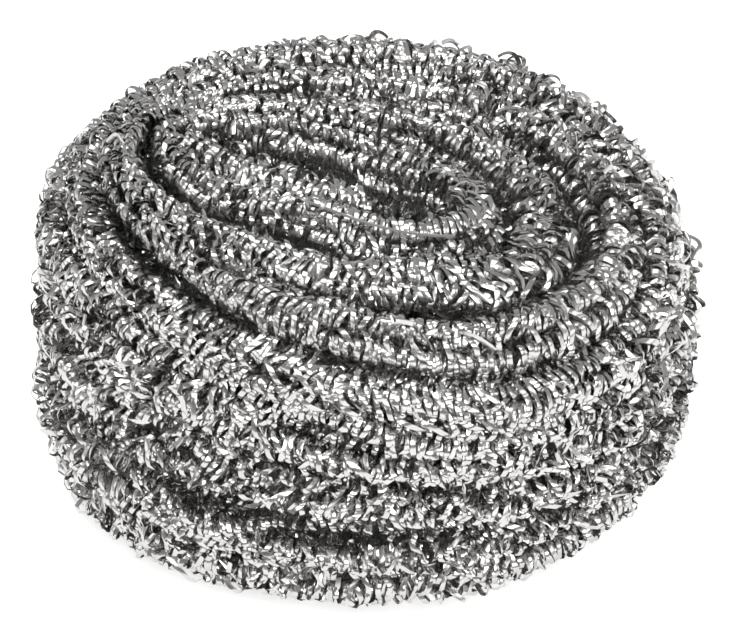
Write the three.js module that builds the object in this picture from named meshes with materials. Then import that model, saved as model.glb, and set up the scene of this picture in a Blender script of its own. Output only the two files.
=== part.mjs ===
// A stainless steel spiral scourer. One flat steel wire is curled into a long springy rope of loops, and the rope is
// wound into a bun: it starts in the eye on top, spirals out over the crown, goes down the side turn by turn and
// spirals in again underneath. It is one piece, so it is one solid, with the rope's turns as its relief.
// Millimetres, +Z up. It stands on its pressed-flat underside, with the origin at the middle of the base.
import * as THREE from "three";

const degrees = THREE.MathUtils.degToRad;

// The bun
const BUN_DIAMETER = 90;
const BUN_HEIGHT = 49;
const SHOULDER_RADIUS = 15; // where the crown turns down into the side
const FOOT_RADIUS = 17; // where the side turns under
const PRESSED_DEPTH = 2; // how far the lowest turns are pressed flat by standing
const DISH_DEPTH = 2.5; // the crown sinks towards the eye
const DISH_RADIUS = 24;

// The rope of loops
const TURN_SPACING = 10; // from one turn to the next over the bun's skin
const TURN_FILL = 0.9; // how much of that a turn's width fills
const ROPE_DEPTH = 5; // from a turn's ridge down to its middle
const ROPE_END_SHARE = 0.75; // the rope's size at its two ends
const TAPER_LENGTH = 12; // over the skin, from the rope's end to its full size
const LOOP_RIDGE_PITCH = 4.4; // one ridge stands for a bunch of four wire loops
const LOOP_RIDGE_DEPTH = 1.2;
const FLANK_ANGLE = degrees(76); // how far round the rope shows before the next turn hides it
const FLANK_FACETS = 4;

// The eye on top, drawn out into a slit, and the eye underneath
const EYE_RADIUS = 1.3;
const EYE_DEPTH = 12;
const EYE_PLACE = 0.9; // along the slit, from its middle towards its near end
const SLIT_LENGTH = 28;
const SLIT_WIDTH = 1.6;
const ROPE_START = 2.9; // from the slit's middle line to the rope's upper end
const SLIT_MIDDLE = new THREE.Vector2(-10.5, 4.6);
const SLIT_ANGLE = degrees(162);
const SLIT_FADE = 48; // the turns are round again this far from the eye
const BASE_EYE_DEPTH = 6;

// How the hand-wound bun departs from a true round
const WINDING_START = degrees(300); // where the rope's upper end lies round the slit
const DRIFT = new THREE.Vector2(4.4, -5.5); // the crown's turns are laid this far off the bun's axis
const DRIFT_FADE = 77; // and are level again this far from the eye, at the foot
const CROWN_LEAN = new THREE.Vector2(-2.2, -0.7); // how much higher the crown's rim stands at +X and at +Y
const CROWN_OVAL = { reach: 2.3, along: degrees(131) };
const FOOT_OVAL = { reach: 4.4, along: degrees(26) };
const CORNERS = { reach: 1.6, along: degrees(55) };

const bunRadius = BUN_DIAMETER / 2;

// Half of the bun's outline, from the crown's centre over the side to the middle of the base.
function bunProfile() {
  const profile = new THREE.Path();
  profile.moveTo(0, BUN_HEIGHT - DISH_DEPTH);
  profile.quadraticCurveTo(DISH_RADIUS / 2, BUN_HEIGHT, DISH_RADIUS, BUN_HEIGHT);
  profile.lineTo(bunRadius - SHOULDER_RADIUS, BUN_HEIGHT);
  profile.absarc(bunRadius - SHOULDER_RADIUS, BUN_HEIGHT - SHOULDER_RADIUS, SHOULDER_RADIUS, Math.PI / 2, 0, true);
  profile.lineTo(bunRadius, FOOT_RADIUS - PRESSED_DEPTH);
  profile.absarc(bunRadius - FOOT_RADIUS, FOOT_RADIUS - PRESSED_DEPTH, FOOT_RADIUS, 0, -Math.PI / 2, true);
  profile.lineTo(0, -PRESSED_DEPTH);
  return profile;
}

const profile = bunProfile();
const profileLength = profile.getLength();

// A point of the bun's skin, from the way over the skin to it from the crown's centre and the angle round the axis.
function skinPoint(way, angle) {
  const { x: out, y: height } = profile.getPointAt(THREE.MathUtils.clamp(way / profileLength, 0, 1));
  const up = height / BUN_HEIGHT;
  const swell = ({ reach, along }, lobes) => reach * Math.cos(lobes * (angle - along));
  const oval = THREE.MathUtils.lerp(swell(FOOT_OVAL, 2), swell(CROWN_OVAL, 2), up);
  const distance = out * (1 + (oval + swell(CORNERS, 3)) / bunRadius);
  const x = distance * Math.cos(angle);
  const y = distance * Math.sin(angle);
  return new THREE.Vector3(x, y, height + (up * (CROWN_LEAN.x * x + CROWN_LEAN.y * y)) / bunRadius);
}

function skinNormal(way, angle) {
  const down = skinPoint(way + 0.2, angle).sub(skinPoint(way - 0.2, angle));
  const round = skinPoint(way, angle + 0.01).sub(skinPoint(way, angle - 0.01));
  return down.cross(round).normalize();
}

// Where the winding lies on the skin: it is worked out on the skin rolled flat round the eye, where the turns are
// rings, then drawn out along the slit and moved off the axis.
function layOnSkin(turn, way, depth = 0) {
  const angle = WINDING_START - 2 * Math.PI * turn;
  const slit = new THREE.Vector2(Math.cos(SLIT_ANGLE), Math.sin(SLIT_ANGLE));
  const alongSlit = Math.cos(angle - SLIT_ANGLE);
  const drawn = Math.max(0, 1 - way / SLIT_FADE);
  const widened = (EYE_RADIUS - SLIT_WIDTH / 2) * ((1 - alongSlit) / 2);
  const flat = new THREE.Vector2(Math.cos(angle), Math.sin(angle)).multiplyScalar(way + widened * drawn);
  flat.addScaledVector(slit, (SLIT_LENGTH / 2) * drawn * alongSlit);
  flat.addScaledVector(SLIT_MIDDLE, drawn);
  flat.addScaledVector(DRIFT, Math.sin(Math.PI * Math.min(1, way / DRIFT_FADE)));
  const normal = skinNormal(flat.length(), flat.angle());
  return { point: skinPoint(flat.length(), flat.angle()).addScaledVector(normal, -depth), normal };
}

const endInset = SLIT_WIDTH / 2 + (ROPE_END_SHARE * TURN_SPACING) / 2;

// The rope's size at a place along the winding, as a share of its full size: it tapers at both of its ends.
function ropeShare(way) {
  const fromEnd = Math.min(way, profileLength - way) - endInset;
  return THREE.MathUtils.lerp(ROPE_END_SHARE, 1, THREE.MathUtils.smoothstep(fromEnd, 0, TAPER_LENGTH));
}

// Steps along the rope, two to each ridge: how many turns it has made, and how far from the eye it is.
function windRope() {
  const steps = [];
  const slightly = 0.002;
  let turn = 0;
  let way = ROPE_START;
  while (way < profileLength - endInset) {
    steps.push({ turn, way, ridge: steps.length % 2 === 0 });
    const pace = layOnSkin(turn, way).point.distanceTo(layOnSkin(turn + slightly, way).point) / slightly;
    const turned = LOOP_RIDGE_PITCH / 2 / pace;
    turn += turned;
    way += TURN_SPACING * ropeShare(way) * turned;
  }
  return steps;
}

// The points across the rope at one step, from the flank towards the upper eye to the flank towards the lower one.
function ropeSection({ turn, way, ridge }) {
  const { point, normal } = layOnSkin(turn, way);
  const along = layOnSkin(turn + 0.002, way).point.sub(layOnSkin(turn - 0.002, way).point).normalize();
  const across = normal.clone().cross(along).normalize();
  const share = ropeShare(way);
  const depth = ROPE_DEPTH * share;
  const squeeze = layOnSkin(turn, way + 0.5, depth).point.sub(layOnSkin(turn, way - 0.5, depth).point).dot(across);
  const width = ((TURN_SPACING * TURN_FILL) / 2) * share * squeeze;
  const dip = ridge ? 0 : LOOP_RIDGE_DEPTH;
  const points = [];
  for (let facet = 0; facet <= FLANK_FACETS; facet++) {
    const flank = FLANK_ANGLE * ((2 * facet) / FLANK_FACETS - 1);
    const onRope = point.clone();
    onRope.addScaledVector(normal, (depth - dip) * Math.cos(flank) - depth);
    onRope.addScaledVector(across, width * Math.sin(flank));
    onRope.z = Math.max(0, onRope.z);
    points.push(onRope);
  }
  return points;
}

// The bun's skin: the rope's turns, the grooves between them and the two eyes, as one closed surface.
function scourerGeometry() {
  const steps = windRope();
  const last = steps.length - 1;
  const points = steps.flatMap(ropeSection);
  const triangles = [];
  const row = FLANK_FACETS + 1;
  const upperFlank = (step) => step * row;
  const lowerFlank = (step) => step * row + FLANK_FACETS;

  for (let step = 0; step < last; step++) {
    for (let facet = 0; facet < FLANK_FACETS; facet++) {
      const a = step * row + facet;
      const b = a + row;
      triangles.push([a, b, a + 1], [b, b + 1, a + 1]);
    }
  }

  // Each groove joins the lower flank of one turn to the upper flank of the next.
  let above = 0;
  let below = steps.findIndex((step) => step.turn >= 1);
  const firstBelow = below;
  while (below < last) {
    if (steps[above + 1].turn < steps[below + 1].turn - 1) {
      triangles.push([lowerFlank(above), lowerFlank(above + 1), upperFlank(below)]);
      above++;
    } else {
      triangles.push([lowerFlank(above), upperFlank(below + 1), upperFlank(below)]);
      below++;
    }
  }

  // The eyes are pits, each closed by a fan from its rim to its deepest point.
  const section = (step) => Array.from({ length: row }, (_, facet) => step * row + facet);
  const upperRim = [...section(0).reverse(), ...steps.slice(1, firstBelow + 1).map((_, i) => upperFlank(i + 1))];
  const lowerRim = [...section(last), ...steps.slice(above, last).map((_, i) => lowerFlank(last - 1 - i))];
  const closeEye = (rim, deepest) => {
    const pit = points.push(deepest) - 1;
    rim.forEach((point, i) => triangles.push([point, pit, rim[(i + 1) % rim.length]]));
  };
  const slit = new THREE.Vector2(Math.cos(SLIT_ANGLE), Math.sin(SLIT_ANGLE));
  const eye = SLIT_MIDDLE.clone().addScaledVector(slit, (-EYE_PLACE * SLIT_LENGTH) / 2);
  const eyePoint = skinPoint(eye.length(), eye.angle());
  closeEye(upperRim, eyePoint.setZ(eyePoint.z - EYE_DEPTH));
  closeEye(lowerRim, new THREE.Vector3(0, 0, BASE_EYE_DEPTH));

  const geometry = new THREE.BufferGeometry().setFromPoints(points);
  geometry.setIndex(triangles.flat());
  geometry.computeBoundingBox();
  const middle = geometry.boundingBox.getCenter(new THREE.Vector3());
  geometry.translate(-middle.x, -middle.y, 0);
  geometry.computeVertexNormals();
  return geometry;
}

const stainlessSteel = new THREE.MeshStandardMaterial({ color: 0xb9b8b4, roughness: 0.3, metalness: 1 });
const wireCoil = new THREE.Mesh(scourerGeometry(), stainlessSteel);
wireCoil.name = "wire_coil";

const scourer = new THREE.Group();
scourer.name = "spiral_scourer";
scourer.add(wireCoil);

export default scourer;
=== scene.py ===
# A stainless steel spiral scourer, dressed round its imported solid. One flat steel wire is curled into a
# springy rope of loops, and the rope is wound into a bun, from the eye on the crown over the side to the
# middle of the base. Metres, +Z up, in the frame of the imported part.
import math

import bpy
import numpy as np
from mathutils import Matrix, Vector


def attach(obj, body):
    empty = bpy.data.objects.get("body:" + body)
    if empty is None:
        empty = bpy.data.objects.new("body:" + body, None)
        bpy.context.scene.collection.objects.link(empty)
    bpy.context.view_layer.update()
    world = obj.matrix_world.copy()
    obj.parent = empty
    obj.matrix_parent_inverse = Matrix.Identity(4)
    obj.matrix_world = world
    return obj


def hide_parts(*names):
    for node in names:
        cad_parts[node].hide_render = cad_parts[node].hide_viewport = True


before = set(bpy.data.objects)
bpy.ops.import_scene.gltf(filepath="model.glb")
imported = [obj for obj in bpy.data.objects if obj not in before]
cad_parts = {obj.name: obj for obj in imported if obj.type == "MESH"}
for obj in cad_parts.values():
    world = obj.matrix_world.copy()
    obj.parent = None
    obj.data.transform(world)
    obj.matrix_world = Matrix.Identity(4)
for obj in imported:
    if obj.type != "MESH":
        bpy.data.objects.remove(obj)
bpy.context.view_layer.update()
bpy.ops.object.select_all(action="DESELECT")

# The crown's turns of rope, from the eye out to the shoulder. The wire is drawn stainless steel, rolled
# flat and curled like a spring as it leaves the rollers. On the crown its loops still lie in order, side by
# side, and the rope is held in its turns only by its own spring and by the loops that catch in each other.
MM = 0.001
BUN_RADIUS = 45 * MM
BUN_HEIGHT = 49 * MM
SHOULDER_RADIUS = 15 * MM  # where the crown turns down into the side
FOOT_RADIUS = 17 * MM  # where the side turns under
PRESSED_DEPTH = 2 * MM  # how far the lowest turns are pressed flat by standing
DISH_DEPTH = 2.5 * MM  # the crown sinks towards the eye
DISH_RADIUS = 24 * MM
PROFILE_STEPS = 60


def bun_profile():
    """Half of the bun's outline, from the crown's centre over the side to the middle of the base: the way
    over the skin to each point, its distance from the axis, and its height."""
    dish = np.linspace(0, 1, PROFILE_STEPS)
    bow = np.linspace(0, math.pi / 2, PROFILE_STEPS)
    out = [
        DISH_RADIUS * dish,
        BUN_RADIUS - SHOULDER_RADIUS * (1 - np.sin(bow)),
        BUN_RADIUS - FOOT_RADIUS * (1 - np.cos(bow)),
        [0],
    ]
    height = [
        BUN_HEIGHT - DISH_DEPTH * (1 - dish) ** 2,
        BUN_HEIGHT - SHOULDER_RADIUS * (1 - np.cos(bow)),
        FOOT_RADIUS * (1 - np.sin(bow)) - PRESSED_DEPTH,
        [-PRESSED_DEPTH],
    ]
    out, height = np.concatenate(out), np.concatenate(height)
    way = np.concatenate([[0], np.cumsum(np.hypot(np.diff(out), np.diff(height)))])
    return way, out, height


profile_way, profile_out, profile_height = bun_profile()
skin_length = profile_way[-1]

CROWN_LEAN = (-2.2 * MM, -0.7 * MM)  # how much higher the crown's rim stands at +X and at +Y
CROWN_OVAL, CROWN_OVAL_ALONG = 2.3 * MM, math.radians(131)
FOOT_OVAL, FOOT_OVAL_ALONG = 4.4 * MM, math.radians(26)
CORNERS, CORNERS_ALONG = 1.6 * MM, math.radians(55)


def skin_point(way, angle):
    """A point of the bun's skin, from the way over the skin to it and the angle round the axis."""
    out = np.interp(way, profile_way, profile_out)
    height = np.interp(way, profile_way, profile_height)
    up = height / BUN_HEIGHT
    crown_swell = CROWN_OVAL * np.cos(2 * (angle - CROWN_OVAL_ALONG))
    foot_swell = FOOT_OVAL * np.cos(2 * (angle - FOOT_OVAL_ALONG))
    corner_swell = CORNERS * np.cos(3 * (angle - CORNERS_ALONG))
    distance = out * (1 + (foot_swell + up * (crown_swell - foot_swell) + corner_swell) / BUN_RADIUS)
    x, y = distance * np.cos(angle), distance * np.sin(angle)
    lean = up * (CROWN_LEAN[0] * x + CROWN_LEAN[1] * y) / BUN_RADIUS
    return np.stack([x, y, height + lean], axis=-1)


def unit(vectors):
    return vectors / np.linalg.norm(vectors, axis=-1, keepdims=True)


WAY_STEP = 0.2 * MM
ANGLE_STEP = 0.01


def skin_normal(way, angle):
    down = skin_point(way + WAY_STEP, angle) - skin_point(way - WAY_STEP, angle)
    round_axis = skin_point(way, angle + ANGLE_STEP) - skin_point(way, angle - ANGLE_STEP)
    return unit(np.cross(down, round_axis))


WINDING_START = math.radians(300)  # where the rope's upper end lies round the slit
EYE_RADIUS = 1.3 * MM
SLIT_LENGTH = 28 * MM  # the eye is drawn out into a slit
SLIT_WIDTH = 1.6 * MM
SLIT_MIDDLE = (-10.5 * MM, 4.6 * MM)
SLIT_ANGLE = math.radians(162)
SLIT_FADE = 48 * MM  # the turns are round again this far from the eye
DRIFT = (4.4 * MM, -5.5 * MM)  # the crown's turns are laid this far off the bun's axis
DRIFT_FADE = 77 * MM  # and are level again this far from the eye, at the foot


def lay_on_skin(turn, way):
    """Where the winding lies, and which way is out there: the turns are rings on the skin rolled flat,
    drawn out along the slit and moved off the axis."""
    angle = WINDING_START - 2 * math.pi * turn
    along_slit = np.cos(angle - SLIT_ANGLE)
    drawn = np.maximum(0, 1 - way / SLIT_FADE)
    drift = np.sin(math.pi * np.minimum(1, way / DRIFT_FADE))
    ring = way + (EYE_RADIUS - SLIT_WIDTH / 2) * (1 - along_slit) / 2 * drawn
    stretch = SLIT_LENGTH / 2 * drawn * along_slit
    x = ring * np.cos(angle) + stretch * math.cos(SLIT_ANGLE) + SLIT_MIDDLE[0] * drawn + DRIFT[0] * drift
    y = ring * np.sin(angle) + stretch * math.sin(SLIT_ANGLE) + SLIT_MIDDLE[1] * drawn + DRIFT[1] * drift
    way_out, way_round = np.hypot(x, y), np.arctan2(y, x)
    return skin_point(way_out, way_round), skin_normal(way_out, way_round)


def smoothstep(low, high, value):
    share = np.clip((value - low) / (high - low), 0, 1)
    return share * share * (3 - 2 * share)


TURN_SPACING = 10 * MM  # from one turn to the next over the bun's skin
ROPE_END_SHARE = 0.75  # the rope's size at its two ends
TAPER_LENGTH = 12 * MM  # over the skin, from the rope's end to its full size
end_inset = SLIT_WIDTH / 2 + ROPE_END_SHARE * TURN_SPACING / 2


def rope_share(way):
    """The rope's size as a share of its full size, which tapers at both of its ends."""
    from_end = np.minimum(way, skin_length - way) - end_inset
    return ROPE_END_SHARE + (1 - ROPE_END_SHARE) * smoothstep(0, TAPER_LENGTH, from_end)


SNUG_FILL, CROWN_FILL, SIDE_FILL, FOOT_FILL = 0.92, 0.83, 1.04, 0.94
FILL_WAYS = np.array([8, 14, 37, 48, 60, 66, 71, 78]) * MM
FILL_SHARES = [SNUG_FILL, CROWN_FILL, CROWN_FILL, SIDE_FILL, SIDE_FILL, FOOT_FILL, FOOT_FILL, SNUG_FILL]


def rope_fill(way):
    """How much of the room between its neighbours the rope fills. It lies snug round the slit, apart on the
    crown, crowded on the side and apart once more at the foot."""
    return np.interp(way, FILL_WAYS, FILL_SHARES)


# Where a turn parts from the one before it, or closes up: after how many turns, over what part of a turn,
# and by what share of the spacing.
PARTINGS = [
    (0.06, 0.1, 0.38),
    (0.72, 0.12, -0.3),
    (0.88, 0.05, -0.35),
    (1.02, 0.08, 0.25),
    (1.36, 0.1, -0.25),
    (1.88, 0.08, -0.1),
    (2.14, 0.07, 0.2),
    (2.33, 0.09, 0.06),
    (2.54, 0.05, 0.12),
    (3.05, 0.04, 0.26),
    (3.33, 0.1, -0.45),
    (3.66, 0.07, 0.12),
    (4.04, 0.05, 0.2),
    (4.25, 0.1, 0.18),
    (6.97, 0.05, 0.16),
    (7.15, 0.06, 0.06),
]


def rope_parting(turn):
    """How far the rope stands off the turn before it, as a share of the spacing."""
    parting = np.zeros(len(turn))
    for place, reach, amount in PARTINGS:
        parting += amount * np.exp(-(((turn - place) / reach) ** 2))
    return parting


ROPE_START = 2.9 * MM  # from the slit's middle line to the rope's upper end
ROPE_DEPTH = 5 * MM  # from a turn's ridge down to its middle
NARROWING = 0.4  # how much of a parting comes from the rope being narrower there
LEAST_SQUEEZE = 0.68
END_DIP = 3 * MM  # the rope's upper end is pushed down into the eye
END_DIP_WAY = 0.6 * MM
TURN_STEP = 0.002


def bun_middle(ridge):
    """The middle of the winding's box in plan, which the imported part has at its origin."""
    middle = (ridge.min(axis=0) + ridge.max(axis=0)) / 2
    middle[2] = 0
    return middle


def stations_along(middle):
    """How far along the rope each point of its middle line is."""
    steps = np.linalg.norm(np.diff(middle, axis=0), axis=1)
    return np.concatenate([[0], np.cumsum(steps)])


def wind_rope(depth, shift=0.0):
    """The rope's course at a depth under the skin: arrays along it of its middle, directions and half
    sizes. A shift moves the course over the skin, away from the crown's centre."""
    ways = [ROPE_START]
    while ways[-1] < skin_length - end_inset:
        ways.append(ways[-1] + TURN_SPACING * float(rope_share(ways[-1])) * TURN_STEP)
    turn = TURN_STEP * np.arange(len(ways))
    whole_ridge, _ = lay_on_skin(turn, np.array(ways))
    before, after = rope_parting(turn), rope_parting(turn + 1)
    way = np.array(ways) + shift
    laid = way + TURN_SPACING / 2 * (before - after)
    ridge, normal = lay_on_skin(turn, laid)
    ahead, _ = lay_on_skin(turn + TURN_STEP, laid)
    behind, _ = lay_on_skin(turn - TURN_STEP, laid)
    along = unit(ahead - behind)
    across = unit(np.cross(normal, along))
    half_depth = ROPE_DEPTH * np.minimum(1, rope_fill(way))
    outer, _ = lay_on_skin(turn, laid + MM / 2)
    inner, _ = lay_on_skin(turn, laid - MM / 2)
    squeeze = np.maximum(np.sum((outer - inner) * across, axis=1) / MM, LEAST_SQUEEZE)
    fill = rope_fill(way) - NARROWING * (np.maximum(before, 0) + np.maximum(after, 0))
    half_width = TURN_SPACING / 2 * fill * squeeze
    dip = END_DIP * (1 - smoothstep(ROPE_START, ROPE_START + END_DIP_WAY, way))
    middle = ridge - normal * (half_depth + depth + dip)[:, None] - bun_middle(whole_ridge)
    return {
        "station": stations_along(middle),
        "turn": turn,
        "way": way,
        "along": along,
        "middle": middle,
        "normal": normal,
        "across": across,
        "half_depth": half_depth,
        "half_width": half_width,
    }


def on_rope(rope, key, station):
    """One of the rope's arrays, read at any stations along it."""
    values = rope[key]
    if values.ndim == 1:
        return np.interp(station, rope["station"], values)
    return np.stack([np.interp(station, rope["station"], values[:, i]) for i in range(3)], axis=-1)


WANDER_DRAWS = 4096


def wander(seed, place):
    """A smooth random course between -1 and 1, with one draw to each whole step of place."""
    draws = np.random.default_rng(seed).uniform(-1, 1, WANDER_DRAWS)
    whole = np.floor(place).astype(int)
    part = place - whole
    ease = part * part * (3 - 2 * part)
    return draws[whole % WANDER_DRAWS] * (1 - ease) + draws[(whole + 1) % WANDER_DRAWS] * ease


WIRE_WIDTH = 0.7 * MM
WIRE_THICKNESS = 0.12 * MM
PRESSED_ZONE = 3 * MM


def press_flat(points):
    """The lowest loops are pressed together by standing, down to the plane of the base."""
    z = points[:, 2]
    pressed = PRESSED_ZONE * (z + PRESSED_DEPTH) / (PRESSED_ZONE + PRESSED_DEPTH)
    lowest = WIRE_WIDTH / 2
    points[:, 2] = np.maximum(np.where(z < PRESSED_ZONE, pressed, z), lowest)
    return points


NEAT_TWIST, MESSY_TWIST, TWIST_PACE = 0.1, 0.45, 2.1  # radians, radians, changes to each loop
SLOW_TWIST, SLOW_TWIST_PACE = 0.25, 0.6
ROLLED_PLACE, ROLLED_REACH = 0.8, 0.13  # the part of each turn where the loops are rolled over
ROLLED_TWIST, ROLLED_PACE = 1.8, 0.9  # and show more of the wire's edge
ROLLED_FROM = 16 * MM, 24 * MM  # over the skin, where that begins
ROLLED_TO = 46 * MM, 54 * MM  # and where it ends


def wire_twist(rope, station, loop, mess, on_side, seed):
    """How far the wire's flat face is turned away from the middle of its loop."""
    twist = (NEAT_TWIST + MESSY_TWIST * mess) * wander(seed + 7, loop * TWIST_PACE)
    twist = twist + SLOW_TWIST * (1 + on_side) * wander(seed + 11, loop * SLOW_TWIST_PACE)
    way, part_turn = on_rope(rope, "way", station), on_rope(rope, "turn", station) % 1
    rolled = np.exp(-(((part_turn - ROLLED_PLACE) / ROLLED_REACH) ** 2))
    rolled = rolled * smoothstep(*ROLLED_FROM, way) * (1 - smoothstep(*ROLLED_TO, way))
    return twist + ROLLED_TWIST * rolled * wander(seed + 12, loop * ROLLED_PACE)


LOOP_STEPS = 12
OUTER_DETAIL = 0.4  # how much closer the steps lie on a loop's outer side, which shows
LOOP_PITCH = 1.2 * MM
SIDE_OFFSET = 0.07  # the side's loops are smaller than the crown's, and lie this much further out
CROWN_MESS, SIDE_MESS = 0.6, 0.85  # how far the loops are out of order
SIDE_START, SIDE_FULL = 36 * MM, 58 * MM  # over the skin, where the crown's order is lost
MESS_CHANGE, MESS_STRETCH = 0.8, 13  # the mess comes and goes by this share, over so many loops
LEAST_MESS, MOST_MESS = 0.1, 1.4
ROAMING, ROAMING_STRETCH = math.radians(40), 12  # how far a strand roams round the rope, over so many loops
LEANING, LEANING_STRETCH = math.radians(22), 17  # neighbouring loops lean together
SLANT = math.radians(48)  # and each loop also leans by itself
TIP, TIP_PACE = math.radians(45), 0.8
NEAT_CHANGE, CROWN_CHANGE, SIDE_CHANGE = 0.04, 0.2, 0.1  # how much a loop differs in size from the next
OVAL_LOOP, CORNERED_LOOP = 0.09, 0.07  # how far loops are bent out of round, as a share of the rope's size
BEND_TURN, BEND_PACE = 3, 0.4  # and how the bends turn round the loops
CRIMP, CRIMPS_PER_LOOP = 0.05, 4.3  # small bends in the wire
BUNCH_PACE = 0.5  # loops crowd together and spread out along the rope


def curl(rope, first, last, seed, offset, place=0.0, pitch=LOOP_PITCH, handed=1, extra_mess=0.0, reach=1.0):
    """A strand of curled wire between two stations of a rope: its points, the way its flat face looks, and
    its twist. The strand lies at a place round the rope, from 0 at its ridge, and is offset from the rope's
    middle by a share of its size. Its loops reach out to a share of the rope's size."""
    loop = np.arange(first / pitch, last / pitch, 1 / LOOP_STEPS)
    station = loop * pitch
    on_side = smoothstep(SIDE_START, SIDE_FULL, on_rope(rope, "way", station))
    mess = CROWN_MESS + (SIDE_MESS - CROWN_MESS) * on_side
    mess = mess * (1 + MESS_CHANGE * wander(seed, loop / MESS_STRETCH)) + extra_mess
    mess = np.clip(mess, LEAST_MESS, MOST_MESS)
    offset = offset + SIDE_OFFSET * on_side
    round_rope = place + ROAMING * (1 + on_side) * wander(seed + 8, loop / ROAMING_STRETCH)
    round_loop = 2 * math.pi * loop
    round_loop = handed * (round_loop - OUTER_DETAIL * np.sin(round_loop))

    slant = LEANING * wander(seed + 9, loop / LEANING_STRETCH) + SLANT * mess * wander(seed + 1, loop)
    tip = TIP * mess * wander(seed + 2, loop * TIP_PACE)
    change = NEAT_CHANGE + (CROWN_CHANGE + SIDE_CHANGE * on_side) * mess
    oval_turn = BEND_TURN * wander(seed + 5, loop * BEND_PACE)
    corner_turn = BEND_TURN * wander(seed + 6, loop * BEND_PACE)
    size = (reach - offset) * (1 + change * wander(seed + 4, loop))
    size = size + OVAL_LOOP * mess * np.cos(2 * round_loop + oval_turn)
    size = size + CORNERED_LOOP * mess * np.cos(3 * round_loop + corner_turn)
    size = size + CRIMP * wander(seed + 10, loop * CRIMPS_PER_LOOP)
    forward = np.sin(round_loop) * np.sin(slant) + np.cos(round_loop) * np.sin(tip)
    station = station + on_rope(rope, "half_width", station) * size * forward
    station = station + (1 + on_side) * pitch * mess * wander(seed + 3, loop * BUNCH_PACE)

    normal = on_rope(rope, "normal", station)
    across = on_rope(rope, "across", station)
    outward = offset * np.cos(round_rope) + size * np.cos(round_loop)
    sideways = offset * np.sin(round_rope) + size * np.sin(round_loop) * np.cos(slant)
    points = on_rope(rope, "middle", station)
    points = points + (on_rope(rope, "half_depth", station) * outward)[:, None] * normal
    points = points + (on_rope(rope, "half_width", station) * sideways)[:, None] * across
    out = np.cos(round_loop)[:, None] * normal + np.sin(round_loop)[:, None] * across
    return press_flat(points), out, wire_twist(rope, station, loop, mess, on_side, seed)


UV_ROWS = 64  # the map holds this many loops of wire, one above the other
SHARP_EDGE = math.radians(60)


def flat_wire(name, runs):
    """One piece of flat wire from its runs, each a closed strip with a section like a lens. A piece has
    hundreds of loops, more than can be bent one by one, so the strips are swept along their points."""
    corners, faces, places = [], [], []
    count = 0
    for points, out, twist in runs:
        run = unit(np.gradient(points, axis=0))
        face = unit(out - np.sum(out * run, axis=1)[:, None] * run)
        edge = np.cross(run, face)
        turn, tilt = np.cos(twist)[:, None], np.sin(twist)[:, None]
        face, edge = face * turn + edge * tilt, edge * turn - face * tilt
        half_width, half_thickness = edge * WIRE_WIDTH / 2, face * WIRE_THICKNESS / 2
        section = [half_width, half_thickness, -half_width, -half_thickness]
        corners.append(np.stack([points + corner for corner in section], axis=1).reshape(-1, 3))

        step = np.repeat(np.arange(len(points) - 1), 4)
        side = np.tile(np.arange(4), len(points) - 1)
        near, far = count + 4 * step, count + 4 * step + 4
        after = (side + 1) % 4
        faces.append(np.stack([near + side, far + side, far + after, near + after], axis=1))
        along = (step % LOOP_STEPS) / LOOP_STEPS
        row = step // LOOP_STEPS % UV_ROWS
        over = np.array([1, 0.5, 0, 0.5])
        v_side, v_after = (row + over[side]) / UV_ROWS, (row + over[after]) / UV_ROWS
        u_near, u_far = along, along + 1 / LOOP_STEPS
        strip = [u_near, v_side, u_far, v_side, u_far, v_after, u_near, v_after]
        places.append(np.stack(strip, axis=1))

        start, end = count, count + 4 * (len(points) - 1)
        ends = [[start, start + 1, start + 2, start + 3], [end + 3, end + 2, end + 1, end]]
        faces.append(np.array(ends))
        places.append(np.zeros((2, 8)))
        count += 4 * len(points)

    mesh = bpy.data.meshes.new(name)
    mesh.from_pydata(np.concatenate(corners), [], np.concatenate(faces))
    uv = mesh.uv_layers.new(name="wire_length")
    uv.uv.foreach_set("vector", np.concatenate(places).astype(np.float32).ravel())
    piece = bpy.data.objects.new(name, mesh)
    bpy.context.scene.collection.objects.link(piece)
    piece.data.materials.append(drawn_stainless)
    bpy.context.view_layer.objects.active = piece
    piece.select_set(True)
    bpy.ops.object.shade_smooth_by_angle(angle=SHARP_EDGE)
    piece.select_set(False)
    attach(piece, "root")
    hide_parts("wire_coil")


def linear(hex_colour):
    """An sRGB hex colour as linear red, green, blue and alpha."""
    channels = [int(hex_colour[i : i + 2], 16) / 255 for i in (1, 3, 5)]
    return [c / 12.92 if c <= 0.04045 else ((c + 0.055) / 1.055) ** 2.4 for c in channels] + [1]


def add_node(tree, kind, settings=None, **links):
    """Adds a node with its settings and inputs; an input given as a socket is linked."""
    node = tree.nodes.new(kind)
    for key, value in (settings or {}).items():
        setattr(node, key, value)
    for key, value in links.items():
        socket = node.inputs[int(key[1:])] if key[0] == "_" else node.inputs[key.replace("_", " ")]
        if isinstance(value, bpy.types.NodeSocket):
            tree.links.new(value, socket)
        else:
            socket.default_value = value
    return node


LOOP_LENGTH = 11 * MM  # of wire in one loop of the rope
STEEL_DARK, STEEL_PALE = "#adacaa", "#d2d1d0"
STEEL_SMOOTH, STEEL_ROUGH = 0.13, 0.27
DIE_LINES = (0.12, 7, 1)  # to a millimetre along and across the wire; real ones are finer and wouldn't show
DIE_LINE_DEPTH = 0.03 * MM
DIE_LINE_STRENGTH = 0.25
TONE_PATCHES = (0.16, 0.5, 1)  # to a millimetre along and across the wire
NOISE_LOW, NOISE_HIGH = 0.3, 0.7  # most of a noise lies between these


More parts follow.
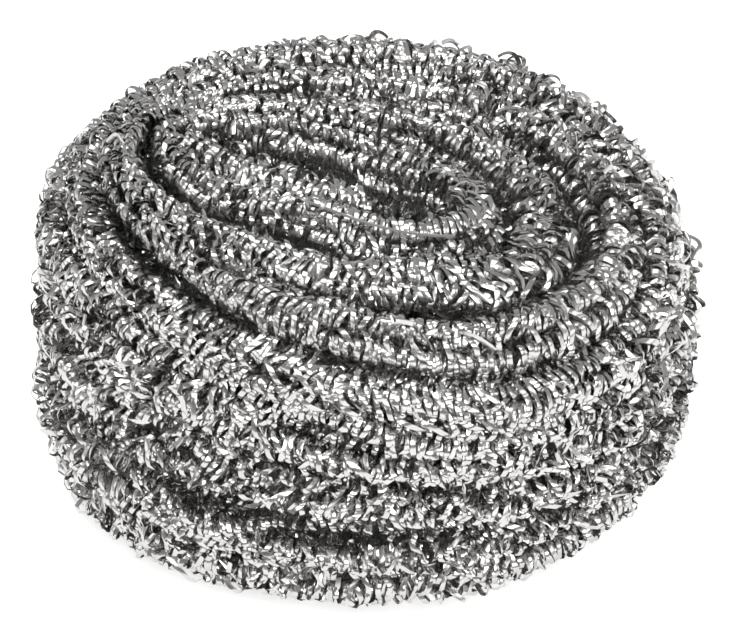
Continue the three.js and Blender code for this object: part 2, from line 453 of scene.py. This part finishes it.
def drawn_stainless_steel():
    """Stainless steel, drawn and rolled flat: bright, with fine die lines along the wire and slow changes
    of tone."""
    material = bpy.data.materials.new("drawn_stainless_steel")
    material.use_nodes = True
    tree = material.node_tree
    tree.nodes.clear()
    place = add_node(tree, "ShaderNodeUVMap", {"uv_map": "wire_length"})
    millimetres = (LOOP_LENGTH / MM, UV_ROWS * WIRE_WIDTH / MM, 1)
    on_wire = add_node(tree, "ShaderNodeMapping", Vector=place.outputs["UV"], Scale=millimetres)
    die_lines = add_node(tree, "ShaderNodeMapping", Vector=on_wire.outputs["Vector"], Scale=DIE_LINES)
    lines = add_node(tree, "ShaderNodeTexNoise", Vector=die_lines.outputs["Vector"], Scale=1, Detail=2)
    patches = add_node(tree, "ShaderNodeMapping", Vector=on_wire.outputs["Vector"], Scale=TONE_PATCHES)
    tone = add_node(tree, "ShaderNodeTexNoise", Vector=patches.outputs["Vector"], Scale=1, Detail=2)
    colour = add_node(
        tree, "ShaderNodeMix", {"data_type": "RGBA"},
        _0=tone.outputs["Fac"], _6=linear(STEEL_DARK), _7=linear(STEEL_PALE),
    )
    rough = add_node(
        tree, "ShaderNodeMapRange", Value=lines.outputs["Fac"], From_Min=NOISE_LOW, From_Max=NOISE_HIGH,
        To_Min=STEEL_SMOOTH, To_Max=STEEL_ROUGH,
    )
    ripple = add_node(
        tree, "ShaderNodeBump", Height=lines.outputs["Fac"],
        Strength=DIE_LINE_STRENGTH, Distance=DIE_LINE_DEPTH,
    )
    steel = add_node(
        tree, "ShaderNodeBsdfPrincipled", Base_Color=colour.outputs["Result"], Metallic=1,
        Roughness=rough.outputs["Result"], Normal=ripple.outputs["Normal"],
    )
    add_node(tree, "ShaderNodeOutputMaterial", Surface=steel.outputs["BSDF"])
    return material


drawn_stainless = drawn_stainless_steel()
rope = wind_rope(0)
rope_end = rope["station"][-1]


def station_at(rope, way):
    """The station where a rope is this far over the skin from the crown's centre."""
    return float(np.interp(way, rope["way"], rope["station"]))


STRAND_OFFSET = 0.63
FACE_PITCH, FLANK_PITCH = 1.15 * MM, 1.35 * MM
STRANDS = [  # seed, degrees round the rope from its ridge, pitch, hand
    (130, 0, FACE_PITCH, 1),
    (150, 42, FACE_PITCH, -1),
    (170, -42, FACE_PITCH, 1),
    (30, 84, FACE_PITCH, 1),
    (50, -84, FACE_PITCH, -1),
    (190, 130, FLANK_PITCH, -1),
    (330, -130, FLANK_PITCH, 1),
]


def wound_pieces(name, first, last, pieces, strand_count):
    """A stretch of the rope as several pieces of one length, made up of the first few of the strands."""
    stations = np.linspace(first, last, pieces + 1)
    for number in range(pieces):
        start, end = stations[number], stations[number + 1]
        runs = [
            curl(rope, start, end, seed, STRAND_OFFSET, math.radians(place), pitch, handed)
            for seed, place, pitch, handed in STRANDS[:strand_count]
        ]
        flat_wire(f"{name}_{number + 1}", runs)


SHOULDER_WAY = 34 * MM
CROWN_PIECES = 3
CROWN_STRANDS = 5
ROPE_INSET = 3.5 * MM  # the rope starts this far behind the eye, which stays open
crown_end = station_at(rope, SHOULDER_WAY)
wound_pieces("crown_turn", ROPE_INSET, crown_end, CROWN_PIECES, CROWN_STRANDS)

# The side's turns of rope, from the shoulder down to the foot. It is the same wire, but handling has pushed
# its loops over each other, so they lean all ways.
FOOT_WAY = 98 * MM
SIDE_PIECES = 7
side_end = station_at(rope, FOOT_WAY)
wound_pieces("side_turn", crown_end, side_end, SIDE_PIECES, len(STRANDS))

# The base's turns, which carry the bun. It is the same rope, wound in to the middle of the base, and its
# lowest loops are pressed flat by standing.
BASE_OFFSET, BASE_FLANK_OFFSET = 0.34, 0.46
BASE_FLANK_PLACE = math.radians(118)
base_flank = {"offset": BASE_FLANK_OFFSET, "pitch": FLANK_PITCH}
base_runs = [
    curl(rope, side_end, rope_end, seed=10, offset=BASE_OFFSET),
    curl(rope, side_end, rope_end, seed=30, place=BASE_FLANK_PLACE, **base_flank),
    curl(rope, side_end, rope_end, seed=50, place=-BASE_FLANK_PLACE, **base_flank),
]
flat_wire("base_turns", base_runs)

# The looser loops that lie over the others, all round the bun. They are lengths of the same wire that use
# has pulled out of the rope a little, curled the other way.
LOOSE_STRANDS = [(70, math.radians(25)), (310, math.radians(-35))]  # seed, place round the rope
LOOSE_OFFSET = 0.7
LOOSE_PITCH = 3 * MM
LOOSE_REACH = 1.07
EXTRA_MESS = 0.3
loose_runs = [
    curl(
        rope, ROPE_INSET, side_end, seed, LOOSE_OFFSET, place, LOOSE_PITCH,
        handed=-1, extra_mess=EXTRA_MESS, reach=LOOSE_REACH,
    )
    for seed, place in LOOSE_STRANDS
]
flat_wire("loose_loops", loose_runs)

# The loops of wire that are pushed into the grooves of the upper side and bridge them, so that the turns
# there run into each other. They follow the rope half a turn's width further down.
BRIDGE_DEPTH = 0.6 * MM
BRIDGE_START, BRIDGE_END = 43 * MM, 61 * MM  # over the skin
BRIDGE_STRANDS = [(210, 30), (230, -30), (270, -80), (290, 80)]  # seed, degrees round the rope
bridge_rope = wind_rope(BRIDGE_DEPTH, TURN_SPACING / 2)
bridge_first, bridge_last = station_at(bridge_rope, BRIDGE_START), station_at(bridge_rope, BRIDGE_END)
bridge_runs = [
    curl(bridge_rope, bridge_first, bridge_last, seed, STRAND_OFFSET, math.radians(place))
    for seed, place in BRIDGE_STRANDS
]
flat_wire("bridging_loops", bridge_runs)

# Stray wire: ends of the same wire that have sprung out at the rim, one length that lies along the rope in
# front of the eye, and a small ring beside it.
STRAY_COUNT = 110
STRAY_TURNS = 2.6, 5.2
STRAY_PLACE, STRAY_SPREAD, STRAY_TAILS = 0.77, 0.12, 3  # most strays stand on one part of each turn
STRAY_LEAN = math.radians(70)
STRAY_REACH = 3, 7  # mm
STRAY_RISES = [-0.6, -0.2, 0.4, 1.4]  # mm over the rope's ridge
STRAY_RISE_CHANGE = 0.7, 1.3
STRAY_ENDING = 0.55, 1  # how much of its bow a stray still has
STRAY_ROOT = 1.5 * MM  # how deep in the rope it starts
STRAY_START = 0.3  # the share of the bow that lies behind its root
STRAY_SWAY, STRAY_SWAYS = 1 * MM, 5
STRAY_TWIST = 0.8, 1.4
STRAY_TWIST_CHANGE = -0.6, 0.6
STRAY_STEPS = 14


def stray_wire(draw):
    """A length of wire that springs out of the rope in a bow, with its far end free or pushed in again."""
    turn = draw.uniform(*STRAY_TURNS)
    part_turn = STRAY_PLACE + STRAY_SPREAD * draw.standard_t(STRAY_TAILS)
    turn = math.floor(turn) + part_turn % 1
    station = float(np.interp(turn, rope["turn"], rope["station"]))
    base = on_rope(rope, "middle", station)
    normal, along, across = (on_rope(rope, key, station) for key in ("normal", "along", "across"))
    lean = draw.uniform(-1, 1) * STRAY_LEAN
    run = math.cos(lean) * along * draw.choice([-1, 1]) + math.sin(lean) * across
    reach = draw.uniform(*STRAY_REACH) * MM
    rise = draw.choice(STRAY_RISES) * draw.uniform(*STRAY_RISE_CHANGE) * MM
    bow = np.linspace(0, draw.uniform(*STRAY_ENDING), STRAY_STEPS)
    height = ROPE_DEPTH - STRAY_ROOT + 4 * (rise + STRAY_ROOT) * bow * (1 - bow)
    sway = STRAY_SWAY * draw.uniform(-1, 1) * np.sin(STRAY_SWAYS * bow)
    points = base + normal * height[:, None] + run * (reach * (bow - STRAY_START))[:, None]
    points = points + np.cross(run, normal) * sway[:, None]
    out = np.broadcast_to(normal, points.shape)
    twist = draw.choice([-1, 1]) * draw.uniform(*STRAY_TWIST) + bow * draw.uniform(*STRAY_TWIST_CHANGE)
    return points, out, twist


def laid_wire(turns, offsets, rise):
    """A length of wire that lies on the rope, along a course of turns and of offsets from its ridge."""
    way = np.interp(turns, rope["turn"], rope["way"])
    points, normal = lay_on_skin(turns, way + offsets)
    whole_ridge, _ = lay_on_skin(rope["turn"], rope["way"])
    return points + normal * rise - bun_middle(whole_ridge), normal, np.zeros(len(turns))


RING_BACK, RING_UP = 0.6, 0.8  # the ring leans back
RING_ROUND = 2.1 * math.pi  # its ends lie over each other
RING_TWIST = 0.9
RING_STEPS = 24


def ring_of_wire(turn, offset, radius):
    """A small ring of wire that stands on the rope and looks to the front."""
    turns = turn + np.array([-TURN_STEP, TURN_STEP])
    ends, normals, _ = laid_wire(turns, np.array([offset, offset]), radius / 2)
    centre, normal = ends.mean(axis=0), normals[0]
    along = unit(ends[1] - ends[0])
    back = unit(RING_UP * normal - RING_BACK * np.cross(normal, along))
    bow = np.linspace(0, RING_ROUND, RING_STEPS)
    out = np.cos(bow)[:, None] * along + np.sin(bow)[:, None] * back
    return centre + radius * out, out, np.full(RING_STEPS, RING_TWIST)


LAID_STEPS = 30
LAID_TURNS = np.linspace(1.14, 1.0, LAID_STEPS)
LAID_OFFSETS = np.linspace(-0.4, 4, LAID_STEPS) * MM
LAID_RISE = 0.2 * MM
RING_TURN = 1.13
RING_OFFSET = 0.5 * MM
RING_RADIUS = 1.1 * MM
stray_draw = np.random.default_rng(seed=250)
strays = [stray_wire(stray_draw) for _ in range(STRAY_COUNT)]
along_eye = laid_wire(LAID_TURNS, LAID_OFFSETS, LAID_RISE)
eye_ring = ring_of_wire(RING_TURN, RING_OFFSET, RING_RADIUS)
flat_wire("stray_wire", strays + [along_eye, eye_ring])

# The inner turns, under the ones that show, and the heart of the bun, a flat coil deep under the eye. They
# are the same wire, wound first, and fill the bun, so that no light comes through it.
INNER_DEPTH = 8.5 * MM
INNER_OFFSET = 0.1
INNER_PITCH = 2.6 * MM
INNER_START_WAY = 16 * MM
inner_rope = wind_rope(INNER_DEPTH)
inner_start = station_at(inner_rope, INNER_START_WAY)
inner_end = inner_rope["station"][-1]
inner_size = {"offset": INNER_OFFSET, "pitch": INNER_PITCH}
inner_runs = [curl(inner_rope, inner_start, inner_end, seed=90, extra_mess=EXTRA_MESS, **inner_size)]

HEART_HEIGHT = 21 * MM
HEART_TURNS = 5.1
HEART_SPACING = 6 * MM
HEART_PITCH = 1.5 * MM
HEART_OFFSET = 0.4
HEART_STEPS = 600
CORE_LENGTH = 64 * MM  # of rope, wound tighter at the very middle
CORE_PITCH = 0.8 * MM
CORE_OFFSET = 0.2
heart_turn = np.linspace(0, HEART_TURNS, HEART_STEPS)
heart_round = 2 * math.pi * heart_turn
heart_out = np.stack([np.cos(heart_round), np.sin(heart_round), 0 * heart_turn], axis=1)
heart_middle = heart_out * (HEART_SPACING * heart_turn)[:, None] + np.array([0, 0, HEART_HEIGHT])
heart = {
    "station": stations_along(heart_middle),
    "turn": heart_turn,
    "way": 0 * heart_turn,
    "middle": heart_middle,
    "normal": np.broadcast_to([0.0, 0.0, 1.0], heart_middle.shape),
    "across": heart_out,
    "half_depth": np.full(HEART_STEPS, ROPE_DEPTH),
    "half_width": np.full(HEART_STEPS, ROPE_DEPTH),
}
heart_end = heart["station"][-1]
heart_size = {"pitch": HEART_PITCH, "extra_mess": EXTRA_MESS}
heart_runs = [
    curl(heart, 0, heart_end, seed=350, offset=0, **heart_size),
    curl(heart, 0, heart_end, seed=370, offset=HEART_OFFSET, handed=-1, **heart_size),
    curl(heart, 0, CORE_LENGTH, seed=390, offset=CORE_OFFSET, pitch=CORE_PITCH, extra_mess=EXTRA_MESS),
]
flat_wire("inner_turns", inner_runs + heart_runs)

# The stage, which isn't part of the object: a floor of white paper that runs out to the horizon. The camera
# and the metal see it glow a little, so that the paper comes out white, and it keeps the object's shadow.
FLOOR_RADIUS = 4
FLOOR_GLOW = 0.53
WHITE, PAPER_WHITE = "#ffffff", "#f4f4f3"
bpy.ops.mesh.primitive_circle_add(vertices=64, radius=FLOOR_RADIUS, fill_type="NGON")
floor = bpy.context.object
floor.name = "floor"
floor_paint = bpy.data.materials.new("white_paper")
floor_paint.use_nodes = True
paper_tree = floor_paint.node_tree
paper_tree.nodes.clear()
paper = add_node(paper_tree, "ShaderNodeBsdfDiffuse", Color=linear(PAPER_WHITE))
rays = add_node(paper_tree, "ShaderNodeLightPath")
seen_or_mirrored = add_node(
    paper_tree, "ShaderNodeMath", {"operation": "MAXIMUM"},
    _0=rays.outputs["Is Camera Ray"], _1=rays.outputs["Is Glossy Ray"],
)
seen = add_node(
    paper_tree, "ShaderNodeMath", {"operation": "MAXIMUM"},
    _0=seen_or_mirrored.outputs["Value"], _1=rays.outputs["Is Transmission Ray"],
)
glow_strength = add_node(
    paper_tree, "ShaderNodeMath", {"operation": "MULTIPLY"}, _0=seen.outputs["Value"], _1=FLOOR_GLOW
)
glow = add_node(
    paper_tree, "ShaderNodeEmission", Color=linear(WHITE), Strength=glow_strength.outputs["Value"]
)
bright = add_node(paper_tree, "ShaderNodeAddShader", _0=paper.outputs["BSDF"], _1=glow.outputs["Emission"])
add_node(paper_tree, "ShaderNodeOutputMaterial", Surface=bright.outputs["Shader"])
floor.data.materials.append(floor_paint)

# The light: softboxes in front, at both sides and overhead, all aimed at the base, in a pale room that is
# brightest at the horizon and darker in front, behind the camera.
SOFTBOXES = [  # name, side in metres, place, watts
    ("front_softbox", 0.36, (0.1, -0.46, 0.43), 2.2),
    ("left_softbox", 0.36, (-0.5, -0.22, 0.38), 0.6),
    ("right_softbox", 0.36, (0.52, -0.26, 0.34), 0.7),
    ("overhead_softbox", 0.5, (-0.12, 0.05, 0.7), 2.2),
]
for name, side, place, watts in SOFTBOXES:
    lamp = bpy.data.lights.new(name, "AREA")
    lamp.size = side
    lamp.energy = watts
    box = bpy.data.objects.new(name, lamp)
    bpy.context.scene.collection.objects.link(box)
    box.location = place
    box.rotation_euler = (-Vector(place)).to_track_quat("-Z", "Y").to_euler()

ROOM_LIGHT = 0.35
CEILING_LIGHT = 0.44
HORIZON_LIGHT = 0.8
HORIZON_EDGE, CEILING_EDGE = 0.15, 0.45  # as heights on a globe round the object
FRONT_SHARE = 0.5
FRONT_MIDDLE, FRONT_EDGE = -0.95, -0.2
world = bpy.data.worlds.new("studio")
bpy.context.scene.world = world
world.use_nodes = True
room = world.node_tree
room.nodes.clear()
direction = add_node(room, "ShaderNodeTexCoord")
split = add_node(room, "ShaderNodeSeparateXYZ", Vector=direction.outputs["Generated"])
shown = add_node(
    room, "ShaderNodeMapRange", {"interpolation_type": "SMOOTHSTEP"}, Value=split.outputs["Z"],
    From_Min=HORIZON_EDGE, From_Max=CEILING_EDGE, To_Min=HORIZON_LIGHT, To_Max=CEILING_LIGHT,
)
dimmed = add_node(
    room, "ShaderNodeMapRange", {"interpolation_type": "SMOOTHSTEP"}, Value=split.outputs["Y"],
    From_Min=FRONT_MIDDLE, From_Max=FRONT_EDGE, To_Min=FRONT_SHARE, To_Max=1,
)
shown_dimmed = add_node(
    room, "ShaderNodeMath", {"operation": "MULTIPLY"},
    _0=shown.outputs["Result"], _1=dimmed.outputs["Result"],
)
path = add_node(room, "ShaderNodeLightPath")
camera_or_glossy = add_node(
    room, "ShaderNodeMath", {"operation": "MAXIMUM"},
    _0=path.outputs["Is Camera Ray"], _1=path.outputs["Is Glossy Ray"],
)
sees = add_node(
    room, "ShaderNodeMath", {"operation": "MAXIMUM"},
    _0=camera_or_glossy.outputs["Value"], _1=path.outputs["Is Transmission Ray"],
)
strength = add_node(
    room, "ShaderNodeMix", {"data_type": "FLOAT"},
    _0=sees.outputs["Value"], _2=ROOM_LIGHT, _3=shown_dimmed.outputs["Value"],
)
white = add_node(room, "ShaderNodeBackground", Color=linear(WHITE), Strength=strength.outputs["Result"])
add_node(room, "ShaderNodeOutputWorld", Surface=white.outputs["Background"])

# The camera, where the photograph was taken from: a long lens, 37 degrees above level, shifted a little so
# that the object stands where the photograph has it.
CAMERA_DISTANCE = 0.42
CAMERA_ELEVATION = math.radians(37)
AIM_HEIGHT = 22 * MM
IMAGE_WIDTH = 734
FOCAL_PIXELS = 2969
SENSOR_WIDTH = 36
OBJECT_RIGHT, OBJECT_DOWN = -2.3, 5.1  # pixels from the picture's centre to the aim
lens = bpy.data.cameras.new("camera")
lens.sensor_width = SENSOR_WIDTH
lens.lens = FOCAL_PIXELS * SENSOR_WIDTH / IMAGE_WIDTH
lens.shift_x = -OBJECT_RIGHT / IMAGE_WIDTH
lens.shift_y = OBJECT_DOWN / IMAGE_WIDTH
lens.clip_start = 0.01
camera = bpy.data.objects.new("camera", lens)
bpy.context.scene.collection.objects.link(camera)
camera.location = (
    0,
    -CAMERA_DISTANCE * math.cos(CAMERA_ELEVATION),
    AIM_HEIGHT + CAMERA_DISTANCE * math.sin(CAMERA_ELEVATION),
)
camera.rotation_euler = (math.pi / 2 - CAMERA_ELEVATION, 0, 0)
bpy.context.scene.camera = camera
bpy.context.scene.view_settings.view_transform = "Standard"
